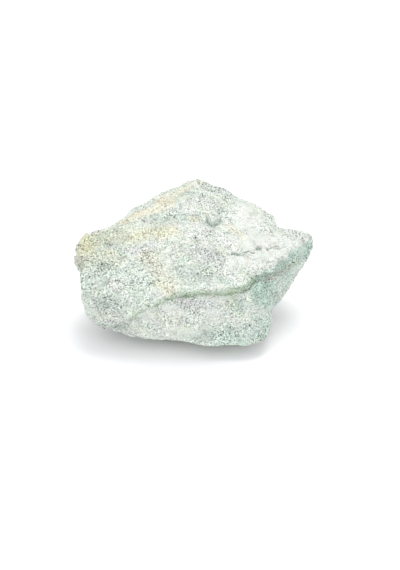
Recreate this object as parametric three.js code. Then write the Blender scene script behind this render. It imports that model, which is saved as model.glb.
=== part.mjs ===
// Raw fuchsite: one rough lump of green mica quartzite, about 60 mm across. Millimetres, +Z up.
// It lies on a flat patch of its underside. Its front is towards -Y.
import * as THREE from "three";
import { ConvexHull } from "three/addons/math/ConvexHull.js";
import { ImprovedNoise } from "three/addons/math/ImprovedNoise.js";
import { mergeVertices } from "three/addons/utils/BufferGeometryUtils.js";

// Driving dimensions. X runs along the stone, Y from its front to its back.
const LENGTH = 60;
const DEPTH = 42;
const HEIGHT = 28;

// The broad top is one face that rises to the back and falls a little towards both ends.
const TOP_FRONT = 18; // its height at the front edge
const TOP_RISE = 0.31; // how steeply it climbs
const TOP_CROWN = 0.3; // how far it drops at the ends
const TOP_LEAN = -0.03; // how much lower its right is than its left
const FRONT_EDGE = 4; // where its front edge is along Y
const RIM_THICKNESS = 1.2;
const RAISED = 0.3; // how far the raised layer stands above the top
const UNDER = -0.6; // block bottoms go a little below the surface that the stone lies on

const SWELL = 0.5; // how far the blocks grow, which makes up for their rounded corners
const EDGE_ROUNDING = 0.4;
const CREASE_ROUNDING = 0.2;
const HOLLOW_ROUNDING = 0.3;

const BROAD_LUMPS = { height: 0.5, size: 8 };
const SMALL_LUMPS = { height: 0.35, size: 4.5 };

const LAYER_THICKNESS = 3;
const LAYER_WAVES = { height: 1.5, size: 14 };
const LAYER_UP = new THREE.Vector3(0.03, -0.32, 0.95).normalize();
const LAYER_BACKS = [0, 0, 0.5, -0.3, 0.7, 0, 0.5, 0]; // how far each is set back, from the bottom up
const LEVEL_OF_ORIGIN = 3;
const LAYER_STEP_FROM = 0.7; // where in a layer's thickness the step to the next one starts
const LAYERS_FADE_IN = [23, 30]; // the layers show only behind this, from the first Y to the second

const SUBDIVISIONS = 21;
const EVENING_ROUNDS = 30;
const CREASE_PULL = 1.6;
const CREASE_WIDTH = 0.8;
const UNDERSIDE_PULL = 0.3;

const topAt = (x, y) => TOP_FRONT + TOP_RISE * (y - FRONT_EDGE) - (TOP_CROWN * x * x) / LENGTH + TOP_LEAN * x;
const onTop = (outline, above = 0) => outline.map(([x, y]) => [x, y, topAt(x, y) + above]);
const atLevel = (z, outline) => outline.map(([x, y]) => [x, y, z]);

const LEFT = -LENGTH / 2;
const RIGHT = LENGTH / 2;
const BACK = DEPTH - 1;

// The stone is broken into a few flat-faced blocks. Each is the hull of its outlines at several levels.
const BLOCKS = {
  slab: [
    ...onTop([[-4, 4], [3, 4], [11, 5], [17, 10], [20, 28], [9, 34], [1, 38], [-9, 31]]),
    ...onTop([[LEFT + 2, 24], [LEFT, 22], [LEFT, 18]]),
    ...onTop([[-5, 4], [3, 4], [12, 6], [16, 10]], -RIM_THICKNESS),
    ...atLevel(20, [[0, BACK], [14, 36]]),
    ...atLevel(14, [[LEFT + 1, 21], [LEFT + 1, 17], [-20, 28], [20, 28]]),
    [0, 20, 8],
  ],
  raised: [
    ...onTop([[1, 33], [-10, 27], [-21, 24], [-18, 26], [-9, 31], [1, 38]], RAISED),
    ...atLevel(19, [[0, 36], [-9, 30], [-18, 25]]),
  ],
  core: [
    ...atLevel(18, [[0, BACK], [-14, 34], [14, 37]]),
    ...atLevel(13, [[LEFT + 3, 22], [-22, 29], [20, 32], [-15, 13], [13, 13]]),
    ...atLevel(8, [[0, DEPTH], [12, 39], [20, 31], [-19, 33], [-24, 20]]),
    ...atLevel(3, [[16, 14], [-16, 12]]),
    ...atLevel(UNDER, [[14, 14], [-15, 13], [15, 30], [-15, 31], [0, 36]]),
  ],
  spur: [
    ...atLevel(20, [[RIGHT - 1, 25], [RIGHT - 5, 27], [22, 27]]),
    ...atLevel(18, [[19, 11], [RIGHT - 6, 18], [RIGHT - 3, 23], [RIGHT, 24], [16, 12]]),
    ...atLevel(14, [[RIGHT - 1, 23], [27, 28]]),
    ...atLevel(10, [[24, 21], [19, 12], [20, 30]]),
    ...atLevel(4, [[19, 14], [12, 20]]),
    [17, 26, 22],
  ],
  foot: [
    ...atLevel(16, [[-5, 5], [3, 6], [12, 7], [17, 11], [8, 20]]),
    ...atLevel(11, [[-12, 5], [19, 10]]),
    ...atLevel(8, [[-18, 6], [19, 8], [17, 3], [19, 14]]),
    ...atLevel(4, [[-21, 6], [-14, 3], [19, 4], [19, 16]]),
    ...atLevel(3, [[-7, 2], [5, 0], [12, 0], [18, 2]]),
    ...atLevel(UNDER, [[-14, 20], [15, 22], [-11, 9], [13, 8]]),
  ],
  lobe: [
    ...atLevel(20, [[-16, 15], [-23, 18]]),
    ...atLevel(19, [[-11, 9], [-21, 13], [-27, 17]]),
    ...atLevel(17, [[-6, 5], [-10, 4]]),
    ...atLevel(16, [[-5, 4], [-8, 3]]),
    ...atLevel(14, [[LEFT + 1, 8], [-28, 17], [-12, 3], [-21, 5]]),
    ...atLevel(11, [[-16, 3]]),
    ...atLevel(10, [[-28, 6], [-27, 17], [-10, 20]]),
    ...atLevel(7, [[-19, 3]]),
    ...atLevel(5, [[-22, 4], [-25, 18]]),
    ...atLevel(3, [[-20, 22]]),
  ],
};

// Each hollow is a round-bottomed groove between two points, or a dip where they are one.
const HOLLOWS = [
  { from: [18, 7, 15], to: [21, 4, 9], radius: 4 }, // the valley at the right of the foot
  { from: [16, 10, 16], to: [23, 17, 16], radius: 1.1 }, // the undercut below the slab's right edge
  { from: [23, 17, 16], to: [RIGHT, 24, 17], radius: 0.7 }, // the undercut goes on to the tip
  { from: [11, 16, 21], to: [16, 17, 21], radius: 0.7 }, // the short crack on top
  { from: [-25, 31, HEIGHT], to: [-25, 31, HEIGHT], radius: 9 }, // the dip in the left edge
  { from: [-27, 19, 21], to: [-16, 18, 23], radius: 2 }, // the shallow valley behind the lobe
];

const pointAt = ([x, y, z]) => new THREE.Vector3(x, y, z);

// Smooth versions of max and min, which round the corner between two surfaces by about k.
const NEGLIGIBLE = 9;
const softMax = (values, k) => {
  const top = Math.max(...values);
  let sum = 0;
  for (const v of values) sum += v > top - NEGLIGIBLE * k ? Math.exp((v - top) / k) : 0;
  return top + k * Math.log(sum);
};
const softMin = (values, k) => -softMax(values.map((v) => -v), k);

const noise = new ImprovedNoise();
const NOISE_ORIGIN = new THREE.Vector3(5.7, 11.3, 3.1);
const lumps = (p, { height, size }) => {
  const { x, y, z } = p.clone().divideScalar(size).add(NOISE_ORIGIN);
  return height * noise.noise(x, y, z);
};

const facesOf = (corners) => new ConvexHull().setFromPoints(corners.map(pointAt)).faces;
const blocks = Object.values(BLOCKS).map(facesOf);
// How far a point lies outside each block, negative inside it.
const outside = (p) =>
  blocks.map((faces) => softMax(faces.map((face) => face.distanceToPoint(p) - SWELL), EDGE_ROUNDING));

const hollows = HOLLOWS.map(({ from, to, radius }) => {
  const line = new THREE.Line3(pointAt(from), pointAt(to));
  return { line, radius };
});
const nearest = new THREE.Vector3();
const insideHollows = (p) =>
  hollows.map(({ line, radius }) => radius - line.closestPointToPoint(p, true, nearest).distanceTo(p));

// Worn layers at the back, each set back by its own amount.
const setBack = (layer) => LAYER_BACKS[THREE.MathUtils.clamp(layer, 0, LAYER_BACKS.length - 1)];
const layers = (p) => {
  const level = (p.dot(LAYER_UP) + lumps(p, LAYER_WAVES)) / LAYER_THICKNESS + LEVEL_OF_ORIGIN;
  const layer = Math.floor(level);
  const step = THREE.MathUtils.smoothstep(level - layer, LAYER_STEP_FROM, 1);
  const shown = THREE.MathUtils.smoothstep(p.y, ...LAYERS_FADE_IN);
  return shown * THREE.MathUtils.lerp(setBack(layer), setBack(layer + 1), step);
};

// Positive outside the stone and negative inside it.
const field = (p) =>
  softMax([softMin(outside(p), CREASE_ROUNDING), ...insideHollows(p)], HOLLOW_ROUNDING) +
  lumps(p, BROAD_LUMPS) +
  lumps(p, SMALL_LUMPS) +
  layers(p);

// The skin is found along rays from a point deep inside. The outermost crossing counts.
const HEART = new THREE.Vector3(0, 18, 12);
const FARTHEST = 45;
const STRIDE = 0.75;
const HALVINGS = 14;
const reach = (direction, start) => {
  const p = new THREE.Vector3();
  const at = (r) => field(p.copy(direction).multiplyScalar(r).add(HEART));
  let outer = start;
  while (outer > STRIDE && at(outer - STRIDE) > 0) outer -= STRIDE;
  let inner = outer - STRIDE;
  for (let i = 0; i < HALVINGS; i++) {
    const middle = (inner + outer) / 2;
    if (at(middle) > 0) outer = middle;
    else inner = middle;
  }
  return outer;
};
const cast = (p, start) => {
  const direction = p.clone().sub(HEART).normalize();
  return direction.clone().multiplyScalar(reach(direction, start)).add(HEART);
};

const sphere = new THREE.IcosahedronGeometry(1, SUBDIVISIONS);
sphere.deleteAttribute("normal");
sphere.deleteAttribute("uv");
const skin = mergeVertices(sphere, 1e-5);
const position = skin.getAttribute("position");
const neighbours = Array.from({ length: position.count }, () => new Set());
for (let i = 0; i < skin.index.count; i += 3) {
  const [a, b, c] = skin.index.array.slice(i, i + 3);
  neighbours[a].add(b).add(c);
  neighbours[b].add(a).add(c);
  neighbours[c].add(a).add(b);
}

// The sphere is first stretched to about the stone's size, so that the points start well spread.
const HALF_SIZE = new THREE.Vector3(LENGTH / 2 + 1, DEPTH / 2 + 1, HEIGHT / 2 + 1);
const MIDDLE = new THREE.Vector3(0, DEPTH / 2, HEIGHT / 2);
let points = Array.from({ length: position.count }, (_, i) =>
  cast(new THREE.Vector3().fromBufferAttribute(position, i).multiply(HALF_SIZE).add(MIDDLE), FARTHEST),
);

// Each point then moves over the skin to the middle of its neighbours. Those on a crease pull
// harder, which gathers the points there, and those under the stone pull less.
const LOOK_OUT = 3;
const pullOf = (p) => {
  const [first, second] = outside(p).sort((a, b) => a - b);
  const pull = 1 + CREASE_PULL * Math.exp((first - second) / CREASE_WIDTH);
  return p.z > 0 ? pull : pull * UNDERSIDE_PULL;
};
for (let round = 0; round < EVENING_ROUNDS; round++) {
  const pulls = points.map(pullOf);
  points = points.map((_, i) => {
    const middle = new THREE.Vector3();
    let total = 0;
    for (const n of neighbours[i]) {
      middle.addScaledVector(points[n], pulls[n]);
      total += pulls[n];
    }
    middle.divideScalar(total);
    return cast(middle, middle.distanceTo(HEART) + LOOK_OUT);
  });
}

// What would lie below the surface it rests on is worn flat.
points.forEach((p, i) => position.setXYZ(i, p.x, p.y, Math.max(p.z, 0)));
skin.computeBoundingBox();
const centre = skin.boundingBox.getCenter(new THREE.Vector3());
skin.translate(-centre.x, -centre.y, 0);
skin.computeVertexNormals();

const fuchsite = new THREE.Mesh(
  skin,
  new THREE.MeshStandardMaterial({ color: 0xb9cdbc, roughness: 0.75, metalness: 0 }),
);
fuchsite.name = "fuchsite";

const group = new THREE.Group();
group.name = "raw fuchsite";
group.add(fuchsite);
export default group;
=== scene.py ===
"""Raw fuchsite: one rough piece of pale green mica and quartz rock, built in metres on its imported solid."""

import math

import bmesh
import bpy
import numpy as np
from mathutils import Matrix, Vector, noise


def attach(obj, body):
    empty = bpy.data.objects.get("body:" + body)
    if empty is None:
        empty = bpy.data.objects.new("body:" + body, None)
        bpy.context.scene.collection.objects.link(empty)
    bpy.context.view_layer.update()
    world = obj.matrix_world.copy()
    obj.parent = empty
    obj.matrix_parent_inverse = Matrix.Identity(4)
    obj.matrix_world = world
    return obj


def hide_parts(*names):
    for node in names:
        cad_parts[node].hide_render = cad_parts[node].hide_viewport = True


MM = 0.001

# The camera looks down at the stone's long front edge from a good arm's length.
CAMERA_LENS_MM = 200
CAMERA_SENSOR_MM = 36
CAMERA_HEIGHT_ANGLE = math.radians(35)
CAMERA_DISTANCE_MM = 792
CAMERA_CLIP_START = 0.05  # in metres
LOOK_AT_MM = Vector((1.3, -5, 10.5))

# A white sheet, so many metres to each side, under an even white sky, with one wide soft lamp overhead.
FLOOR_HALF_WIDTH = 3.0
FLOOR_WHITE = (0.92, 0.917, 0.93, 1)
SKY_WHITE = (0.985, 0.99, 1, 1)
SKY_STRENGTH = 1.05
LAMP_STRENGTH = 1.15
LAMP_SPREAD = math.radians(32)
LAMP_TOWARDS = Vector((0.15, 0.5, 1))

# The skin's mesh is welded, its edges are halved so many times, and once more within a few mm of the rim, the
# crack and the lens, and then it is smoothed.
WELD = 1e-7  # in metres
SKIN_CUTS = 2
FINE_REACH = 2.4
SKIN_SMOOTHINGS = 2
SKIN_SMOOTHING = 0.5

# From here on, lengths are in mm. Lumps and streaks of noise are given as their width, their strength, which
# on the skin is their height, and a seed that gives each its own pattern. A reach is a pair: how far away
# something starts, and how near it is full.
RELIEF_LUMPS = [(4.5, 0.2, 2.3), (2.1, 0.14, 3.1), (0.9, 0.1, 5.7)]
RELIEF_STREAKS = [(1.2, 0.14, 9.4)]
CHIPS = [(3.4, 0.1), (1.5, 0.13)]  # a flat facet's width, and how steeply it leans
CELL_SPREAD = 7.3  # moves the cells of noise apart, so that each has a random way and size of its own
POCK_SPACING = 2.9
POCK_BELOW = -0.5  # a cell has a pock if its size, from -1 to 1, is below this
POCK_RADII = (0.8, 0.55)  # from the smallest size to the largest that has a pock
POCK_WALL = (1.5, 0.2)  # where its wall starts and ends, in radii
POCK_DEPTH = 0.3
UNDERSIDE_CALM = 0.8  # the relief fades in over this much above the floor

# Edges are made ragged by smooth noise, as its width and how far it pushes them.
RAGGED_SEED = 2
SKIN_FRAY = ((1.3, 0.4), (0.6, 0.2))
STAIN_FRAY = ((3.2, 0.7), (0.9, 0.4))
LENS_FRAY = ((0.6, 0.15),)

# Streaks of grains fold over the top, from up-to-the-right on its left to down-to-the-right on its right.
# Those of the broken front take over on faces that look forward this much.
STREAK_LENGTH = 3.0
TOP_LEAN = 0.21
TOP_BEND = 0.71
TOP_HINGE = (1, 4)  # where the fold's crest is along X, and how gently it rounds over
FRONT_LEAN = 0.085
FRONT_BEND = -0.335
FRONT_HINGE = (14, 2)
FRONT_TURN = (0.4, 0.75)

# The lower edge of the front is worn: up off the floor, and out a little. The wear starts and is full at
# these shares of an ellipse on the floor, and at these places along Y.
FOOT_MIDDLE = (-1, -2)
FOOT_RADII = (22, 17)
FOOT_WEAR = (0.45, 0.9)
FOOT_FRONT = (-2, -9)
FOOT_HEIGHT = 5.5
FOOT_LIFT = 1.7
FOOT_PUSH = 1.7
FOOT_PUSH_END = (16, 11)  # the push fades out here along X, before the right corner

# Places on the stone are shares of its box: X from the left end, then Y from the front for a place on the
# top, or Z from the floor for a place on the front or the back. Each face has the axes of its shares, the way
# that it looks, and how squarely it looks that way at least.
FACES = {
    "top": ((0, 1), (0, 0, 1), 0.35),
    "front": ((0, 2), (0, -1, 0), 0.2),
    "back": ((0, 2), (0, 1, 0), 0.2),
}

# The slab's rim overhangs the front between these X shares, and these Z shares hold it. It is read off the
# solid in steps of so many mm. Thin leaves of mica show in the broken band below it.
RIM_ACROSS = (0.18, 0.76)
RIM_HEIGHTS = (0.18, 0.66)
RIM_WITHIN = 0.35  # it lies in this share of the depth
RIM_UNDERCUT = -0.3  # a face under the rim looks down at least this much
RIM_BACKWARD = 0.3  # and back at most this much
RIM_CALM = 0.75  # how much of the relief the rim itself lacks
RIM_CALM_REACH = (2.2, 0.8)
EDGE_STEP = 2.0
LEAF_GAPS = [(0.5, 0.55, 0.8), (1.7, 0.35, 0.5)]  # how far below the rim, half its width, and its depth
LEAF_WAVER = [(2.5, 0.12, 1.9)]
LEAF_WEAR = [(1.8, 0.9, 6.6)]
LEAF_MEAN_WEAR = 0.75
BAND_HEIGHT = 2.2
BAND_FADE = 2.0  # its left end fades in over this

# Mossy green mica fills the gaps between the leaves, with less of it on the rest of the band and on the rim.
# Its dark green is partly painted shadow, under the rim's overhanging lip and in the gaps.
MOSS_SHADOW_IN_BAND = 0.35
MOSS_SHADOW_SOLID = 0.6  # it starts to fade at this share of the band's height
MOSS_SHADOW_TOP = (0.1, 0.4)
MOSS_SHADOW_ON_RIM = 0.5
MOSS_SHADOW_RIM_REACH = (0.7, 0.2)
MOSS_SHADOW_PATCHES = [(1.7, 1.0, 17.0)]
MOSS_SHADOW_LEAST = 0.5

# The top's right edge is a nicked crest over the green hollow, with one larger flake gone.
CREST_ACROSS = (0.74, 0.98)
CREST_LEVEL = 0.5  # a face of the top looks up at least this much
CREST_LOWEST = 0.55
CREST_NICKS = (1.9, 0.55, 7.7)  # their width, depth and seed
CREST_NICK_EDGE = 0.35
CREST_REACH = (1.6, 0.48)
NOTCH_ACROSS = 0.87
NOTCH_REACH = (1.7, 0.51)
NOTCH_DEPTH = 0.9

# A half-closed crack crosses the top's right, with small open pits along it that get smaller to the right.
CRACK = ((0.65, 0.35), (0.85, 0.45))
CRACK_REACH = (0.24, 0.06)
CRACK_DEPTH = 0.4
CRACK_PITS = [0.08, 0.2, 0.3, 0.45, 0.6, 0.8]  # how far along it each pit is
PIT_OFFSET = 0.3  # the pits lie by turns in front of it and behind it
PIT_RADII = (0.5, 0.25)
PIT_DEPTHS = (1.1, 0.6)  # at the left and the right, as the radii are
PIT_EDGE = 1.2  # its edge, its bottom and half its length, in radii
PIT_BOTTOM = 0.3
PIT_HALF_LENGTH = 1.4

# A lens of harder rock stands out of the top, and a narrow hollow under its front edge is given painted
# shadow. The edges of both are in radii.
LENS = (0.58, 0.6)
LENS_RADII = (1.7, 1.8)
LENS_EDGE = (1.05, 0.75)
LENS_HEIGHT = 0.7
LENS_REACH = (4, 2)  # up and down, so that nothing under the top is moved
LENS_HOLLOW = (1.2, 1.05)
LENS_HOLLOW_START = (0.9, 1.05)
LENS_HOLLOW_DEPTH = 0.5
LENS_CRESCENT = 0.25  # how far in front of the lens its hollow is centred, in radii

# Small broken steps cross the top's upper left, evenly along the lower edge of the tan band.
STEPS_LINE = ((0.25, 0.55), (0.48, 0.74))
STEP_COUNT = 5
STEP_LENGTH = 2.0
STEP_REACH = (0.8, 0.1)
STEP_DEPTH = 0.3

# The plain rock's colour, and what each stain and the painted shade make of it: how much red, green and
# blue it lets through.
ROCK = (0.59, 0.63, 0.57, 1)
TINTS = {
    "ochre": (1.0, 0.91, 0.64),
    "olive": (0.94, 0.91, 0.78),
    "yellow": (1.03, 0.95, 0.78),
    "tan": (1.06, 0.96, 0.83),
    "forest": (0.76, 0.81, 0.8),
    "moss": (0.68, 0.79, 0.66),
    "emerald": (0.79, 0.96, 0.93),
    "sea": (0.82, 0.92, 0.9),
    "teal": (0.95, 0.99, 0.98),
    "lavender": (0.92, 0.89, 0.97),
    "grey": (0.86, 0.87, 0.88),
    "mint": (0.95, 1.06, 0.99),
    "cream": (1.1, 1.07, 1.1),
    "umber": (0.87, 0.83, 0.76),
    # painted shade: a dark cool grey laid where creases, pits and hollows would lie in shade
    "painted_shade": (0.72, 0.8, 0.81),
}

# The broad zones of the stone, stains and one patch of painted shade: the stain, the face it is on, where it
# runs from and to, its radius, its strength, and how much dark mica it holds.
ZONES = [
    ("ochre", "top", (0.05, 0.5), (0.05, 0.4), 2.2, 0.8, 0.2),
    ("olive", "top", (0.05, 0.35), (0.15, 0.35), 3.0, 0.9, 0.5),
    ("olive", "top", (0.1, 0.5), (0.2, 0.5), 2.2, 0.7, 0.2),
    ("yellow", "top", (0.25, 0.5), (0.4, 0.5), 1.8, 0.8, 0.1),
    ("tan", "top", (0.2, 0.6), (0.4, 0.7), 1.2, 0.9, -0.5),
    ("tan", "top", (0.35, 0.7), (0.55, 0.9), 1.2, 0.9, -0.5),
    ("olive", "top", (0.35, 0.8), (0.5, 0.95), 1.2, 0.9, 0.6),
    ("grey", "top", (0.4, 0.65), (0.55, 0.8), 0.7, 0.8, 0.4),
    ("grey", "top", (0.55, 0.85), (0.65, 0.8), 1.3, 0.9, 0.4),
    ("forest", "top", (0.65, 0.8), (0.7, 0.75), 0.7, 0.7, 0.4),
    ("forest", "top", (0.35, 0.6), (0.45, 0.6), 1.7, 0.9, 0.8),
    ("olive", "top", (0.5, 0.6), (0.5, 0.6), 1.4, 0.9, 0.7),
    ("forest", "top", (0.6, 0.65), (0.65, 0.65), 0.9, 0.8, 0.8),
    ("tan", "top", (0.65, 0.55), (0.7, 0.5), 1.0, 0.6, 0.2),
    ("grey", "top", LENS, LENS, 1.5, 0.8, 0.1),
    ("lavender", "top", (0.25, 0.4), (0.3, 0.4), 1.6, 0.8, 0.5),
    ("grey", "top", (0.5, 0.35), (0.6, 0.3), 2.4, 0.9, 0.5),
    ("lavender", "top", (0.55, 0.35), (0.6, 0.3), 1.3, 0.6, 0.3),
    ("forest", "top", (0.45, 0.2), (0.55, 0.2), 2.2, 0.7, 0.6),
    ("tan", "top", (0.3, 0.35), (0.4, 0.1), 2.2, 0.5, 0.1),
    ("tan", "top", (0.35, 0.15), (0.4, 0.1), 1.2, 0.5, 0.4),
    ("umber", "top", (0.3, 0.35), (0.35, 0.2), 0.8, 0.9, 0.8),
    ("teal", "top", (0.1, 0.25), (0.25, 0.15), 5.5, 0.8, 0.6),
    ("cream", "top", (0.5, 0.5), (0.65, 0.45), 2.0, 0.6, -0.2),
    ("cream", "top", (0.7, 0.65), (0.8, 0.5), 3.2, 1.0, -0.8),
    ("cream", "top", (0.75, 0.45), (0.95, 0.5), 2.8, 1.0, -0.7),
    ("cream", "top", (0.65, 0.3), (0.85, 0.35), 2.2, 1.0, -0.7),
    ("lavender", "top", (0.9, 0.6), (0.95, 0.55), 1.1, 0.7, 0.7),
    ("lavender", "front", (0.45, 0.5), (0.55, 0.45), 1.6, 0.7, 0.3),
    ("cream", "top", (0.15, 0.2), (0.2, 0.15), 1.4, 0.6, 0.2),
    ("forest", "top", (0.1, 0.3), (0.15, 0.3), 0.9, 0.6, 0.7),
    ("forest", "top", (0.1, 0.1), (0.2, 0.05), 1.1, 0.45, 0.5),
    ("forest", "top", (0.15, 0.45), (0.2, 0.4), 1.1, 0.7, 0.5),
    ("cream", "front", (0.3, 0.35), (0.4, 0.4), 1.6, 0.7, -0.2),
    ("moss", "front", (0.65, 0.5), (0.7, 0.4), 1.4, 0.4, 0.3),
    ("emerald", "front", (0.75, 0.5), (0.8, 0.4), 2.4, 0.9, 0.3),
    # painted shade: a dark patch in the crease at the left end of the crest
    ("painted_shade", "front", (0.7, 0.55), (0.7, 0.4), 0.8, 0.7, 0.4),
    ("forest", "front", (0.1, 0.25), (0.2, 0.2), 1.5, 0.5, 0.5),
    ("forest", "front", (0.5, 0.15), (0.65, 0.25), 1.5, 0.7, 0.7),
    ("sea", "front", (0.6, 0.15), (0.8, 0.2), 2.6, 0.9, 0.3),
    ("mint", "front", (0.65, 0.1), (0.8, 0.1), 0.8, 0.9, -0.3),
    ("ochre", "back", (0.2, 0.5), (0.3, 0.4), 2.2, 0.6, 0.2),
    ("teal", "back", (0.6, 0.4), (0.7, 0.35), 3.4, 0.7, 0.3),
    ("cream", "back", (0.7, 0.6), (0.85, 0.5), 2.8, 0.8, -0.4),
    ("lavender", "back", (0.4, 0.6), (0.5, 0.5), 2.2, 0.8, 0.2),
]

# Small marks lie all over in streaks: the stain, how wide they are, how rare from 0 to 1, their strength, and
# how much dark mica they hold.
SCATTERS = [
    ("forest", 1.7, 0.2, 0.7, 0.6),
    ("lavender", 2.6, 0.3, 0.4, 0.3),
    ("tan", 1.8, 0.3, 0.3, -0.1),
    ("cream", 2.4, 0.25, 0.4, -0.3),
    ("umber", 1.2, 0.42, 0.5, 0.4),
]
SCATTER_SEED = 60.0
SCATTER_CALM = 0.4  # how much weaker they are on the freshly broken front
SCATTER_EDGE = 0.25
ZONE_SOFTNESS = 0.75
ZONE_STREAKS = [(0.8, 0.6, 41.0)]
ZONE_MOST = 1.2  # the streaks raise a zone's strength to this at most

# Stains and painted shade that follow a form: the stain or shade, its strength, and how much dark mica
# it holds. Emerald mica fills the hollow, which is the steep faces under the crest from this X share on, and
# fades further down.
HOLLOW_GREEN = ("sea", 1.0, 0.1)
HOLLOW_EMERALD = ("emerald", 0.9, 0.36)
HOLLOW_PATCHES = [(3.6, 1.0, 73.0)]
HOLLOW_PATCH_EDGE = (-0.2, 0.2)
HOLLOW_FROM = 0.74
HOLLOW_START = (-1, 2)  # the green fades in from this side of that X to the other
HOLLOW_FORWARD = (0.1, 0.45)  # it covers faces that look forward this much, and up no more than this
HOLLOW_UPWARD = (0.75, 0.5)
HOLLOW_REACH = (7.0, 3.0)
HOLLOW_FAINT = 0.35
# painted shade: the steep faces right under the crest are darkened where its overhang would shade them
PAINTED_CREST_SHADE = ("painted_shade", 0.5, 0.1)
PAINTED_CREST_SHADE_REACH = (2.0, 0.6)
# partly painted shadow: the band's dark green line under the rim and in the gaps between its leaves
BAND_MOSS_AND_SHADOW = ("moss", 1.0, 0.3)
# painted shade: the crack's pits are darkened by their depth
PAINTED_PIT_SHADE = ("painted_shade", 0.85, 0.2125)
PAINTED_PIT_SHADE_DEPTH = (0.15, 0.6)
# painted shadow: the hollow under the lens's front edge is darkened by its depth
PAINTED_LENS_SHADOW = ("painted_shade", 0.8, 0.24)
PAINTED_LENS_SHADOW_DEPTH = (0.1, 0.4)

# Between these X, faces that look forward are made paler than the top as painted light, and hold less
# dark mica.
PAINTED_LIGHT_AND_MICA_LEFT = (-19, -15)
PAINTED_LIGHT_AND_MICA_RIGHT = (15, 12)
PAINTED_LIGHT_AND_MICA_FORWARD = (0.1, 0.6)
PAINTED_LIGHT_PALER = 0.15
FRONT_LESS_MICA = -0.25

# Dark mica, brightness and hue drift from place to place, in lumps and streaks.
MICA_LUMPS = [(4.5, 0.7, 12.0)]
MICA_STREAKS = [(1.7, 1.0, 15.0)]
MICA_SHADE = 0.05
PALE_LUMPS = [(1.1, 0.08, 53.0)]
PALE_STREAKS = [(0.8, 0.1, 51.0), (2.0, 0.06, 52.0)]
ROSY_LUMPS = [(3.2, 0.7, 55.0)]
ROSY_STREAKS = [(1.0, 1.0, 54.0)]
ROSY_RED = 0.045
ROSY_BLUE = 0.03
GOLDEN_LUMPS = [(2.6, 0.7, 57.0)]
GOLDEN_STREAKS = [(1.2, 1.0, 56.0)]
GOLDEN_BLUE = 0.035

# The grain: the widths of its grains and patches, and how bright the grains are beside the plain rock, from
# the flakes of mica to the clearest quartz. Dark mica raises its contrast.
GRAIN_WIDTH = 0.44
GRAIN_ROUGHNESS = 0.6  # how strong the finer noise on the grains is
FINE_WIDTH = 0.22
FINE_SHARE = 0.45
GRAIN_STOPS = [(0.28, 0.25), (0.4, 0.7), (0.5, 1.0), (0.62, 1.2), (0.75, 1.38)]
GRAIN_MEAN = 0.96
GRAIN_CONTRAST = 1.1
MICA_CONTRAST = 0.75
PATCH_WIDTH = 2.4
PATCH_CONTRAST = 0.2
HUE_WIDTH = 1.1
HUE_STOPS = [(0.3, (0.975, 0.99, 1.0)), (0.5, (1.0, 1.0, 1.0)), (0.7, (1.0, 0.99, 0.965))]
BUMP_STRENGTH = 0.5
BUMP_HEIGHT = 0.08
BUMP_FINE = 0.6
ROUGHEST = 0.8
ROUGHNESS_DRIFT = 0.25
SHINE = 0.35


def smooth_step(low, high, value):
    """0 at low, 1 at high, and a smooth rise between them; low may be the larger, and the value an array."""
    share = np.clip((value - low) / (high - low), 0, 1)
    return share * share * (3 - 2 * share)


def distance_to(places, start, end):
    """How far each place is from the straight line between two points."""
    start = np.array(start, float)
    along = np.array(end, float) - start
    length_squared = max(along @ along, 1e-9)
    share = np.clip((places - start) @ along / length_squared, 0, 1)
    return np.linalg.norm(places - start - share[:, None] * along, axis=1)


def distance_to_line(places, line):
    """How far each place is from the nearest stretch of a line of points."""
    return np.min([distance_to(places, start, end) for start, end in zip(line, line[1:])], axis=0)


def fray(places, *waves):
    """The places, each pushed aside a little by smooth noise, so an edge worked out on them is ragged."""
    moved = places.copy()
    for width, reach in waves:
        moved += reach * np.array([noise.noise_vector(Vector(place) / width) for place in places])
    return moved


def lumps(places, width, seed):
    """Smooth noise from -1 to 1 at each place, in lumps of about that width."""
    shift = Vector((seed, seed * 1.7, seed * 0.6))
    return np.array([noise.noise(Vector(place) / width + shift) for place in places])


def streaks(places, front, width, seed):
    """Noise drawn out along the rock's streaks, those of the top blending into those of the broken front."""
    x, y, z = places.T
    over_top = y + TOP_LEAN * x + TOP_BEND * np.hypot(x - TOP_HINGE[0], TOP_HINGE[1])
    over_front = z + FRONT_LEAN * x + FRONT_BEND * np.hypot(x - FRONT_HINGE[0], FRONT_HINGE[1])
    top = lumps(np.column_stack((x / STREAK_LENGTH, over_top, z / STREAK_LENGTH)), width, seed)
    broken = lumps(np.column_stack((x / STREAK_LENGTH, over_front, y / STREAK_LENGTH)), width, seed)
    return top + front * (broken - top)


def drift(form, lumpy, streaky=()):
    """Several lots of lumps and streaks added up."""
    places, front = form.places, form.front
    total = sum(strength * lumps(places, width, seed) for width, strength, seed in lumpy)
    return total + sum(strength * streaks(places, front, width, seed) for width, strength, seed in streaky)


def chips(places, width, lean):
    """Small flat facets, each leaning its own way."""
    height = np.zeros(len(places))
    for index, place in enumerate(places):
        spot = Vector(place) / width
        centre = noise.voronoi(spot)[1][0]
        way = noise.cell_vector(centre * CELL_SPREAD) - Vector((0.5, 0.5, 0.5))
        height[index] = way.dot(spot - centre)
    return height * 2 * lean * width


def pocks(places):
    """From 0 on the open face to 1 at the bottom of a scattered pock."""
    depth = np.zeros(len(places))
    for index, place in enumerate(places):
        distances, centres = noise.voronoi(Vector(place) / POCK_SPACING)
        size = noise.cell(centres[0] * CELL_SPREAD)
        if size < POCK_BELOW:
            radius = np.interp(size, (-1, POCK_BELOW), POCK_RADII)
            depth[index] = smooth_step(*POCK_WALL, distances[0] * POCK_SPACING / radius)
    return depth


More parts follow.
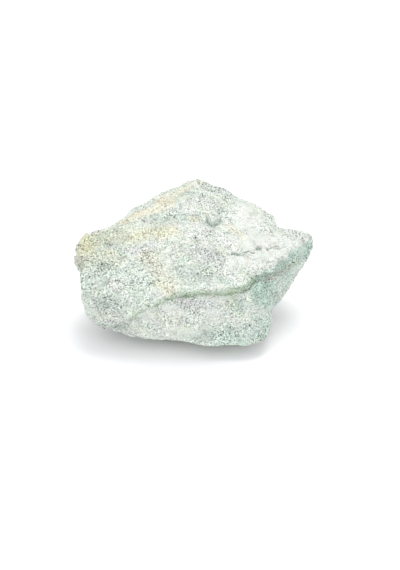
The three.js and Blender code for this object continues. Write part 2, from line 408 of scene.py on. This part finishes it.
class Form:
    """The stone's skin and what its shape tells: where a place is, and the lines of its rim and crest."""

    def __init__(self, places, outward):
        self.places = places
        self.outward = outward
        self.low = places.min(axis=0)
        self.size = np.ptp(places, axis=0)
        self.front = smooth_step(*FRONT_TURN, -outward[:, 1])
        _, depth, height = ((places - self.low) / self.size).T
        undercut = (outward[:, 2] < RIM_UNDERCUT) & (outward[:, 1] < RIM_BACKWARD)
        undercut &= (depth < RIM_WITHIN) & (height > RIM_HEIGHTS[0]) & (height < RIM_HEIGHTS[1])
        self.rim = self.edge(RIM_ACROSS, undercut, places[:, 2])
        crown = (outward[:, 2] > CREST_LEVEL) & (height > CREST_LOWEST)
        self.crest = self.edge(CREST_ACROSS, crown, -places[:, 1])
        self.notch = min(self.crest, key=lambda place: abs(place[0] - self.along_x(NOTCH_ACROSS)))

    def along_x(self, share):
        """The X of a share of the stone's length."""
        return self.low[0] + share * self.size[0]

    def edge(self, across, chosen, rank):
        """An edge from left to right: in each step along X, the chosen place that ranks highest."""
        line = []
        for middle in np.arange(self.along_x(across[0]), self.along_x(across[1]) + EDGE_STEP, EDGE_STEP):
            near = np.flatnonzero(chosen & (np.abs(self.places[:, 0] - middle) < EDGE_STEP / 2))
            if len(near):
                line.append(self.places[near[np.argmax(rank[near])]])
        return line

    def at(self, face, share):
        """The place on the top, the front or the back whose share of the box is nearest to this one."""
        axes, way, least = FACES[face]
        target = self.low[[*axes]] + np.array(share) * self.size[[*axes]]
        away = np.linalg.norm(self.places[:, axes] - target, axis=1)
        away += np.where(self.outward @ way > least, 0, self.size[0])
        return self.places[np.argmin(away)]


def crack(form, near):
    """How deep the crack and its pits are at each place."""
    start, end = (form.at("top", share) for share in CRACK)
    depth = CRACK_DEPTH * smooth_step(*CRACK_REACH, distance_to(near, start, end))
    for index, along in enumerate(CRACK_PITS):
        radius, deepest = (np.interp(along, (0, 1), sizes) for sizes in (PIT_RADII, PIT_DEPTHS))
        middle = start + along * (end - start) + (0, PIT_OFFSET * (-1) ** index, 0)
        half = np.array((PIT_HALF_LENGTH * radius, 0, 0))
        away = distance_to(near, middle - half, middle + half)
        depth = np.maximum(depth, deepest * smooth_step(PIT_EDGE * radius, PIT_BOTTOM * radius, away))
    return depth


def lens(form):
    """The height of the lens's dome, and the depth of the hollow under its front edge."""
    near = fray(form.places, *LENS_FRAY)
    middle = form.at("top", LENS)
    across, along = ((near[:, :2] - middle[:2]) / LENS_RADII).T
    on_top = smooth_step(*LENS_REACH, np.abs(near[:, 2] - middle[2]))
    reach = np.hypot(across, along)
    dome = LENS_HEIGHT * smooth_step(*LENS_EDGE, reach)
    in_front = smooth_step(*LENS_HOLLOW, np.hypot(across, along + LENS_CRESCENT))
    hollow = LENS_HOLLOW_DEPTH * in_front * smooth_step(*LENS_HOLLOW_START, reach)
    return on_top * dome, on_top * hollow


def steps(form, near):
    """How deep the small broken steps are."""
    start, end = (form.at("top", share) for share in STEPS_LINE)
    half = 0.5 * STEP_LENGTH * (end - start) / np.linalg.norm(end - start)
    middles = [start + along * (end - start) for along in np.linspace(0, 1, STEP_COUNT)]
    nearest = np.min([distance_to(near, middle - half, middle + half) for middle in middles], axis=0)
    return STEP_DEPTH * smooth_step(*STEP_REACH, nearest)


def nicks(form, near):
    """How deep the crest's nicks and its one larger notch are."""
    width, depth, seed = CREST_NICKS
    nicked = smooth_step(0, CREST_NICK_EDGE, lumps(near, width, seed))
    small = depth * nicked * smooth_step(*CREST_REACH, distance_to_line(near, form.crest))
    return small + NOTCH_DEPTH * smooth_step(*NOTCH_REACH, distance_to(near, form.notch, form.notch))


def below_rim(form):
    """How far each place on the front is below the slab's rim, and out of reach for every other place."""
    rim = np.array(form.rim)
    places = form.places
    height_there = np.interp(places[:, 0], rim[:, 0], rim[:, 2])
    within = (places[:, 0] > rim[0, 0]) & (places[:, 0] < rim[-1, 0]) & (places[:, 2] < height_there)
    return np.where(within & (form.outward[:, 1] < RIM_BACKWARD), distance_to_line(places, form.rim), np.inf)


def band_fade(form):
    """0 at the left end of the band, and 1 along most of it."""
    start = form.rim[0][0]
    return smooth_step(start, start + BAND_FADE, form.places[:, 0])


def leaves(form):
    """How deep the gaps between the thin leaves of the band are."""
    below = below_rim(form) + drift(form, LEAF_WAVER)
    worn = (LEAF_MEAN_WEAR + drift(form, LEAF_WEAR)) * band_fade(form)
    gaps = sum(depth * smooth_step(half, 0, np.abs(below - middle)) for middle, half, depth in LEAF_GAPS)
    return worn * gaps


def relief(form):
    """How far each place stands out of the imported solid's smooth skin."""
    near = fray(form.places, *SKIN_FRAY)
    height = drift(form, RELIEF_LUMPS, RELIEF_STREAKS)
    for width, lean in CHIPS:
        height += chips(near, width, lean)
    height -= POCK_DEPTH * pocks(near)
    height *= 1 - RIM_CALM * smooth_step(*RIM_CALM_REACH, distance_to_line(form.places, form.rim))
    dome, hollow = lens(form)
    height += dome - hollow - crack(form, near) - steps(form, near) - nicks(form, near)
    return height * smooth_step(0, UNDERSIDE_CALM, form.places[:, 2]) - leaves(form)


def foot_wear(places):
    """How far the wear of the lower edge moves each place."""
    reach = np.hypot(*((places[:, :2] - FOOT_MIDDLE) / FOOT_RADII).T)
    worn = smooth_step(*FOOT_WEAR, reach) * smooth_step(FOOT_HEIGHT, 0, places[:, 2])
    worn *= smooth_step(*FOOT_FRONT, places[:, 1])
    push = FOOT_PUSH * worn * smooth_step(*FOOT_PUSH_END, places[:, 0])
    return np.column_stack((np.zeros(len(places)), -push, FOOT_LIFT * worn))


class StainsAndPaintedShade:
    """The tint of every place and how much dark mica it holds, to which stains and painted shade are added
    one by one.
    """

    def __init__(self, count):
        self.tint = np.ones((count, 3))
        self.mica = np.zeros(count)

    def add(self, colour_layer, cover):
        """Adds a stain, or a layer of painted shade, to each place by its cover, from 0 to 1."""
        kind, strength, dark = colour_layer
        self.tint += (strength * cover)[:, None] * (np.array(TINTS[kind]) - self.tint)
        self.mica += dark * cover


def stain_and_shade_zones(form, stains_and_shade):
    """Small marks scattered over all of it, and over them the broad zones, one of them painted shade, streaky
    and with ragged edges.
    """
    frayed = fray(form.places, *STAIN_FRAY)
    for index, (kind, width, rare, strength, dark) in enumerate(SCATTERS):
        marks = streaks(form.places, form.front, width, SCATTER_SEED + 3 * index)
        cover = smooth_step(rare, rare + SCATTER_EDGE, marks) * (1 - SCATTER_CALM * form.front)
        stains_and_shade.add((kind, strength, dark), cover)
    streaky = np.clip(1 + drift(form, (), ZONE_STREAKS), 0, ZONE_MOST)
    for kind, face, start, end, radius, strength, dark in ZONES:
        reach = distance_to(frayed, form.at(face, start), form.at(face, end)) / radius
        cover = streaky * smooth_step(1 + ZONE_SOFTNESS, 1 - ZONE_SOFTNESS, reach)
        stains_and_shade.add((kind, strength, dark), cover)


def stain_hollow_and_paint_crest_shade(form, stains_and_shade):
    """The green of the hollow under the crest, and painted shade on the steep faces right below the crest."""
    forward, upward = -form.outward[:, 1], form.outward[:, 2]
    steep = smooth_step(*HOLLOW_FORWARD, forward) * smooth_step(*HOLLOW_UPWARD, upward)
    below = distance_to_line(fray(form.places, *STAIN_FRAY), form.crest)
    fading = HOLLOW_FAINT + (1 - HOLLOW_FAINT) * smooth_step(*HOLLOW_REACH, below)
    within = steep * fading * smooth_step(*HOLLOW_START, form.places[:, 0] - form.along_x(HOLLOW_FROM))
    stains_and_shade.add(HOLLOW_GREEN, within)
    stains_and_shade.add(HOLLOW_EMERALD, within * smooth_step(*HOLLOW_PATCH_EDGE, drift(form, HOLLOW_PATCHES)))
    stains_and_shade.add(PAINTED_CREST_SHADE, steep * smooth_step(*PAINTED_CREST_SHADE_REACH, below))


def stain_band_and_paint_rim_shadow(form, stains_and_shade):
    """Green mica between the leaves of the band and on the rim, partly painted shadow under the rim's lip."""
    below = below_rim(form)
    moss_and_shadow = sum(depth * smooth_step(2 * half, 0, np.abs(below - middle)) for middle, half, depth in LEAF_GAPS)
    in_band = smooth_step(BAND_HEIGHT, MOSS_SHADOW_SOLID * BAND_HEIGHT, below) * smooth_step(*MOSS_SHADOW_TOP, below)
    on_rim = (form.outward[:, 1] < 0) * smooth_step(*MOSS_SHADOW_RIM_REACH, distance_to_line(form.places, form.rim))
    moss_and_shadow = np.clip(np.maximum(moss_and_shadow + MOSS_SHADOW_IN_BAND * in_band, MOSS_SHADOW_ON_RIM * on_rim), 0, 1)
    patchy = np.clip(1 + drift(form, MOSS_SHADOW_PATCHES), MOSS_SHADOW_LEAST, 1)
    stains_and_shade.add(BAND_MOSS_AND_SHADOW, moss_and_shadow * patchy * band_fade(form))


def paint_pit_and_lens_shade(form, stains_and_shade):
    """Painted shade, with some dark mica, in the crack's pits and in the hollow under the front edge of the
    lens.
    """
    near = fray(form.places, *SKIN_FRAY)
    stains_and_shade.add(PAINTED_PIT_SHADE, smooth_step(*PAINTED_PIT_SHADE_DEPTH, crack(form, near)))
    stains_and_shade.add(PAINTED_LENS_SHADOW, smooth_step(*PAINTED_LENS_SHADOW_DEPTH, lens(form)[1]))


def stained_with_painted_light(form):
    """The tint of every place, with stains and painted light and shade, and how much dark mica it holds."""
    stains_and_shade = StainsAndPaintedShade(len(form.places))
    stain_and_shade_zones(form, stains_and_shade)
    stain_hollow_and_paint_crest_shade(form, stains_and_shade)
    stain_band_and_paint_rim_shadow(form, stains_and_shade)
    paint_pit_and_lens_shade(form, stains_and_shade)
    # painted light: the forward-looking faces of the front are made paler, and given less dark mica
    painted_light_and_less_mica = smooth_step(*PAINTED_LIGHT_AND_MICA_FORWARD, -form.outward[:, 1])
    painted_light_and_less_mica *= smooth_step(*PAINTED_LIGHT_AND_MICA_LEFT, form.places[:, 0]) * smooth_step(*PAINTED_LIGHT_AND_MICA_RIGHT, form.places[:, 0])
    mica = stains_and_shade.mica + drift(form, MICA_LUMPS, MICA_STREAKS)
    pale = 1 + PAINTED_LIGHT_PALER * painted_light_and_less_mica + drift(form, PALE_LUMPS, PALE_STREAKS) - MICA_SHADE * mica
    rosy = drift(form, ROSY_LUMPS, ROSY_STREAKS)
    golden = drift(form, GOLDEN_LUMPS, GOLDEN_STREAKS)
    red, blue = 1 + ROSY_RED * rosy, 1 + ROSY_BLUE * rosy - GOLDEN_BLUE * golden
    hue = np.column_stack((red, np.ones(len(rosy)), blue))
    return stains_and_shade.tint * hue * pale[:, None], mica + FRONT_LESS_MICA * painted_light_and_less_mica


def form_of(shell):
    """The form of a mesh that is being built."""
    places = np.array([vert.co for vert in shell.verts]) / MM
    return Form(places, np.array([vert.normal for vert in shell.verts]))


def cut_finer(solid):
    """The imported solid's skin as one closed mesh, cut finer, most of all along sharp details, and eased."""
    shell = bmesh.new()
    shell.from_mesh(solid.data)
    bmesh.ops.remove_doubles(shell, verts=shell.verts, dist=WELD)
    for _ in range(SKIN_CUTS):
        bmesh.ops.subdivide_edges(shell, edges=shell.edges, cuts=1, use_grid_fill=True)
    shell.verts.index_update()
    shell.normal_update()
    coarse = form_of(shell)
    lens_middle = coarse.at("top", LENS)
    crack_ends = tuple(coarse.at("top", share) for share in CRACK)
    details = [*zip(coarse.rim, coarse.rim[1:]), crack_ends, (lens_middle, lens_middle)]
    nearest = np.min([distance_to(coarse.places, start, end) for start, end in details], axis=0)
    fine = [edge for edge in shell.edges if all(nearest[vert.index] < FINE_REACH for vert in edge.verts)]
    bmesh.ops.subdivide_edges(shell, edges=fine, cuts=1, use_grid_fill=True)
    bmesh.ops.triangulate(shell, faces=shell.faces)
    for _ in range(SKIN_SMOOTHINGS):
        bmesh.ops.smooth_vert(
            shell, verts=shell.verts, factor=SKIN_SMOOTHING, use_axis_x=True, use_axis_y=True, use_axis_z=True
        )
    shell.normal_update()
    return shell


def build_stone(solid):
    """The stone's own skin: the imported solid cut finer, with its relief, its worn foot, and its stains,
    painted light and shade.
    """
    shell = cut_finer(solid)
    form = form_of(shell)
    tint, mica = stained_with_painted_light(form)
    moved = form.places + form.outward * relief(form)[:, None]
    moved[:, 2] = np.maximum(moved[:, 2], 0)
    moved += foot_wear(form.places)
    for vert, place in zip(shell.verts, moved):
        vert.co = Vector(place) * MM
    skin = bpy.data.meshes.new("fuchsite_stone")
    shell.to_mesh(skin)
    shell.free()
    skin.polygons.foreach_set("use_smooth", [True] * len(skin.polygons))
    opaque_tint = np.column_stack((tint, np.ones(len(tint))))
    tint_layer = skin.attributes.new("tint", "FLOAT_COLOR", "POINT")
    tint_layer.data.foreach_set("color", opaque_tint.ravel().astype(np.float32))
    mica_layer = skin.attributes.new("mica", "FLOAT", "POINT")
    mica_layer.data.foreach_set("value", mica.astype(np.float32))
    stone = bpy.data.objects.new("fuchsite_stone", skin)
    bpy.context.scene.collection.objects.link(stone)
    return stone


class Wire:
    """A node's output that Python's own signs can add, subtract and multiply."""

    def __init__(self, board, socket):
        self.board = board
        self.socket = socket

    def _math(self, operation, first, second):
        return self.board.node("ShaderNodeMath", {"operation": operation}, {0: first, 1: second})

    def __add__(self, other):
        return self._math("ADD", self, other)

    def __radd__(self, other):
        return self._math("ADD", other, self)

    def __sub__(self, other):
        return self._math("SUBTRACT", self, other)

    def __rsub__(self, other):
        return self._math("SUBTRACT", other, self)

    def __mul__(self, other):
        return self._math("MULTIPLY", self, other)

    def __rmul__(self, other):
        return self._math("MULTIPLY", other, self)


class Board:
    """A material's node tree, and the one way nodes are added to it."""

    def __init__(self, material):
        material.use_nodes = True
        self.tree = material.node_tree
        self.tree.nodes.clear()

    def node(self, kind, settings, sockets, output=0):
        """Adds a node: its settings first, then its sockets' values or wires; gives one of its outputs."""
        added = self.tree.nodes.new(kind)
        for name, value in settings.items():
            if name == "stops":
                ramp = added.color_ramp
                while len(ramp.elements) < len(value):
                    ramp.elements.new(1)
                for element, (position, colour) in zip(ramp.elements, value):
                    element.position = position
                    element.color = (*colour, 1)
            else:
                setattr(added, name, value)
        for name, value in sockets.items():
            if isinstance(value, Wire):
                self.tree.links.new(value.socket, added.inputs[name])
            else:
                added.inputs[name].default_value = value
        return Wire(self, added.outputs[output]) if added.outputs else None

    def noise(self, where, width, detail=1.0, roughness=0.5):
        """Noise in lumps of about that width in mm, from 0 to 1."""
        sockets = {"Vector": where, "Scale": 1 / width, "Detail": detail, "Roughness": roughness}
        return self.node("ShaderNodeTexNoise", {"noise_dimensions": "3D"}, sockets)

    def blend(self, how, share, below, above):
        """Two colours mixed: the Mix node has its colours on sockets 6 and 7, and its result on output 2."""
        settings = {"data_type": "RGBA", "blend_type": how}
        return self.node("ShaderNodeMix", settings, {0: share, 6: below, 7: above}, 2)


def sugary_rock():
    """Cream and mint grains of quartz with dark flakes of green mica among them."""
    material = bpy.data.materials.new("sugary_fuchsite_rock")
    board = Board(material)
    place = board.node("ShaderNodeTexCoord", {}, {}, 3)
    in_mm = board.node("ShaderNodeVectorMath", {"operation": "SCALE"}, {0: place, "Scale": 1 / MM})
    tint = board.node("ShaderNodeAttribute", {"attribute_name": "tint"}, {})
    mica = board.node("ShaderNodeAttribute", {"attribute_name": "mica"}, {}, 2)

    grains = board.noise(in_mm, GRAIN_WIDTH, roughness=GRAIN_ROUGHNESS)
    fine = board.noise(in_mm, FINE_WIDTH, detail=0.0)
    patches = board.noise(in_mm, PATCH_WIDTH)
    hue = board.noise(in_mm, HUE_WIDTH)
    stops = [(position, (bright, bright, bright)) for position, bright in GRAIN_STOPS]
    both = grains * (1 - FINE_SHARE) + fine * FINE_SHARE
    speckle = board.node("ShaderNodeValToRGB", {"stops": stops}, {"Fac": both})
    contrast = GRAIN_CONTRAST + mica * MICA_CONTRAST
    brightness = 1 + (speckle - GRAIN_MEAN) * contrast + (patches - 0.5) * PATCH_CONTRAST
    cast = board.node("ShaderNodeValToRGB", {"stops": HUE_STOPS}, {"Fac": hue})
    coloured = board.blend("MULTIPLY", 1.0, ROCK, tint)
    coloured = board.blend("MULTIPLY", 1.0, coloured, cast)
    coloured = board.blend("MULTIPLY", 1.0, coloured, brightness)

    raised = {"Strength": BUMP_STRENGTH, "Distance": BUMP_HEIGHT * MM, "Height": grains + fine * BUMP_FINE}
    bump = board.node("ShaderNodeBump", {}, raised)
    roughness = ROUGHEST - fine * ROUGHNESS_DRIFT
    finish = {"Base Color": coloured, "Roughness": roughness, "Normal": bump, "Specular IOR Level": SHINE}
    surface = board.node("ShaderNodeBsdfPrincipled", {}, finish)
    board.node("ShaderNodeOutputMaterial", {}, {"Surface": surface})
    return material


def white_floor():
    """A wide matt white sheet for the stone to lie on."""
    sheet = bmesh.new()
    bmesh.ops.create_grid(sheet, x_segments=1, y_segments=1, size=FLOOR_HALF_WIDTH)
    mesh = bpy.data.meshes.new("floor")
    sheet.to_mesh(mesh)
    sheet.free()
    material = bpy.data.materials.new("matt_white_floor")
    board = Board(material)
    surface = board.node("ShaderNodeBsdfDiffuse", {}, {"Color": FLOOR_WHITE})
    board.node("ShaderNodeOutputMaterial", {}, {"Surface": surface})
    mesh.materials.append(material)
    floor = bpy.data.objects.new("floor", mesh)
    bpy.context.scene.collection.objects.link(floor)
    return floor


def place_camera():
    """The camera, above and in front of the stone's long front edge."""
    towards = Vector((0, -math.cos(CAMERA_HEIGHT_ANGLE), math.sin(CAMERA_HEIGHT_ANGLE)))
    data = bpy.data.cameras.new("camera")
    data.lens = CAMERA_LENS_MM
    data.sensor_width = CAMERA_SENSOR_MM
    data.clip_start = CAMERA_CLIP_START
    camera = bpy.data.objects.new("camera", data)
    bpy.context.scene.collection.objects.link(camera)
    camera.location = (LOOK_AT_MM + towards * CAMERA_DISTANCE_MM) * MM
    camera.rotation_euler = (-towards).to_track_quat("-Z", "Y").to_euler()
    bpy.context.scene.camera = camera


def light_studio():
    """The even white sky and the wide soft lamp."""
    scene = bpy.context.scene
    scene.view_settings.view_transform = "Standard"
    sky = bpy.data.worlds.new("white_sky")
    scene.world = sky
    sky.use_nodes = True
    background = sky.node_tree.nodes["Background"]
    background.inputs["Color"].default_value = SKY_WHITE
    background.inputs["Strength"].default_value = SKY_STRENGTH
    data = bpy.data.lights.new("soft_lamp", "SUN")
    data.energy = LAMP_STRENGTH
    data.angle = LAMP_SPREAD
    lamp = bpy.data.objects.new("soft_lamp", data)
    scene.collection.objects.link(lamp)
    lamp.rotation_euler = (-LAMP_TOWARDS).to_track_quat("-Z", "Y").to_euler()


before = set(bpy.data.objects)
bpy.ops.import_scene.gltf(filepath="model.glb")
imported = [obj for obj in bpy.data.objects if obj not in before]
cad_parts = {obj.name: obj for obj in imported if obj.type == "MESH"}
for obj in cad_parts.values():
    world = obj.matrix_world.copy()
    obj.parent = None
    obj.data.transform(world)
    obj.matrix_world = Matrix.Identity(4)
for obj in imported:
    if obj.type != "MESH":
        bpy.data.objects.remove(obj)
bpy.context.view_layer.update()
noise.seed_set(RAGGED_SEED)
place_camera()
light_studio()
stone = build_stone(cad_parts["fuchsite"])
stone.data.materials.append(sugary_rock())
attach(stone, "root")
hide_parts("fuchsite")
white_floor()
